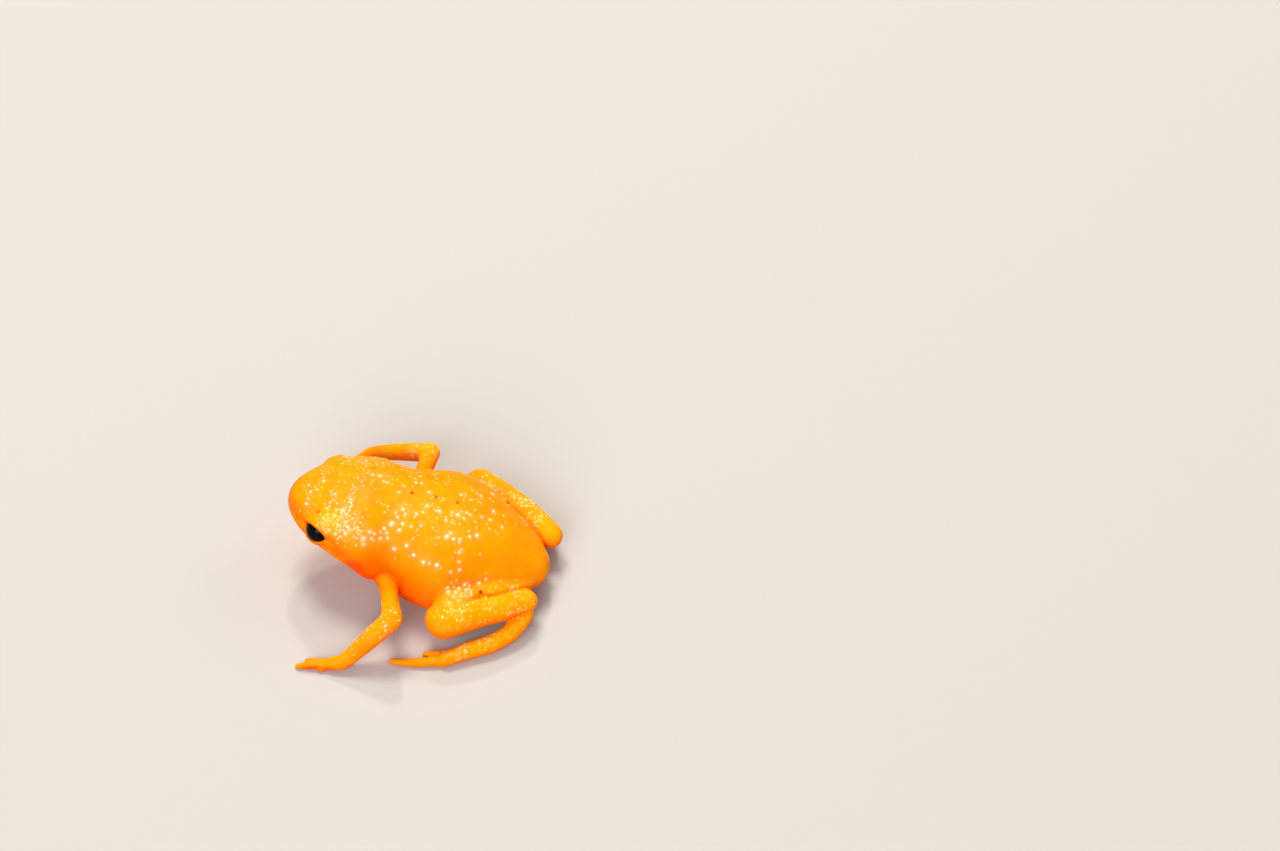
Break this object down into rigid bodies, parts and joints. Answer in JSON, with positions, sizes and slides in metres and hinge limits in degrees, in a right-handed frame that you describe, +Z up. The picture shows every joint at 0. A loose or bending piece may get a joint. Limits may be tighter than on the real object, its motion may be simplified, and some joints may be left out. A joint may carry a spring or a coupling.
{
  "type": "pumpkin toadlet",
  "caption": "Still, life-size tiny orange toad that sits on its belly with the head raised, arms spread and hind legs folded at its sides.",
  "frame": {"origin": "on the floor, in the middle of the flat that the belly rests on", "axes": "+X towards the animal's left, +Y towards its rear, +Z up; it faces -Y"},
  "size_m": [0.015, 0.0139, 0.0058],
  "materials": {
    "skin": "moist, smooth, with fine granules",
    "eye_black": "wet gloss"
  },
  "bodies": {
    "root": {"head": "skin", "torso": "skin", "eye_left": "eye_black", "eye_right": "eye_black", "upper_arm_left": "skin", "upper_arm_right": "skin", "forearm_left": "skin", "forearm_right": "skin", "hand_left": "skin", "hand_right": "skin", "thigh_left": "skin", "thigh_right": "skin", "shank_left": "skin", "shank_right": "skin", "tarsus_left": "skin", "tarsus_right": "skin", "foot_left": "skin", "foot_right": "skin"}
  },
  "joints": []
}
